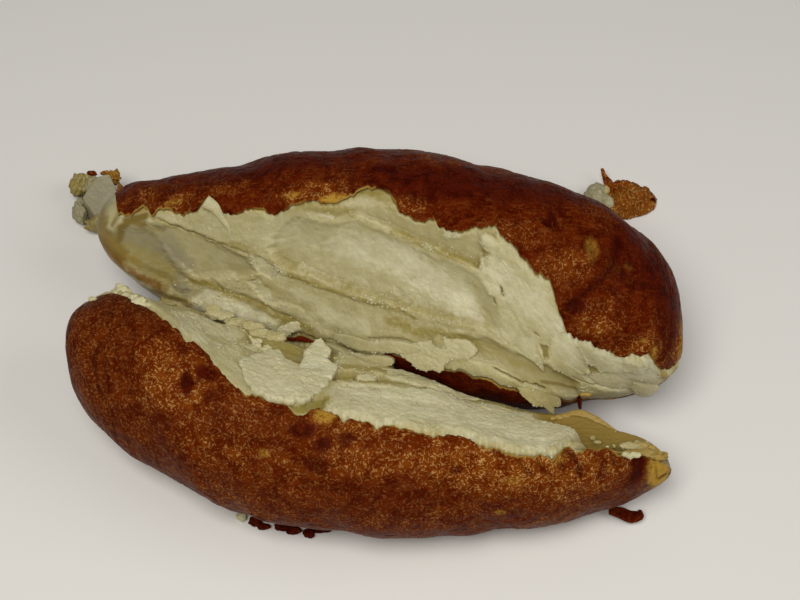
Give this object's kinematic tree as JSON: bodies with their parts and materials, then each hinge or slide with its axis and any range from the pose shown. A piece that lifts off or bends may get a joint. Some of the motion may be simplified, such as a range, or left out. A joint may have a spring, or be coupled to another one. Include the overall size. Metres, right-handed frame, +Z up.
{
  "type": "baked potato",
  "caption": "Baked potato pulled open lengthwise into two plump halves, browned skin outside and flaky flesh facing up, with a torn scrap of skin and a chunk of flesh behind it.",
  "frame": {"origin": "bottom centre of the box round the potato and its two loose pieces, on the surface it rests on", "axes": "+X along the potato towards the blunt end of the rear half, +Y away from the diner, +Z up"},
  "size_m": [0.1548, 0.1082, 0.0529],
  "materials": {
    "potato": "baked skin, red-brown and slightly glossy, round pale mealy flesh",
    "skin": "baked skin, red-brown with golden blisters, slightly glossy",
    "flesh": "soft cream-coloured baked flesh, mealy"
  },
  "bodies": {
    "root": {"half_back": "potato", "half_front": "potato", "skin_scrap": "skin", "flesh_chunk": "flesh"}
  },
  "joints": []
}
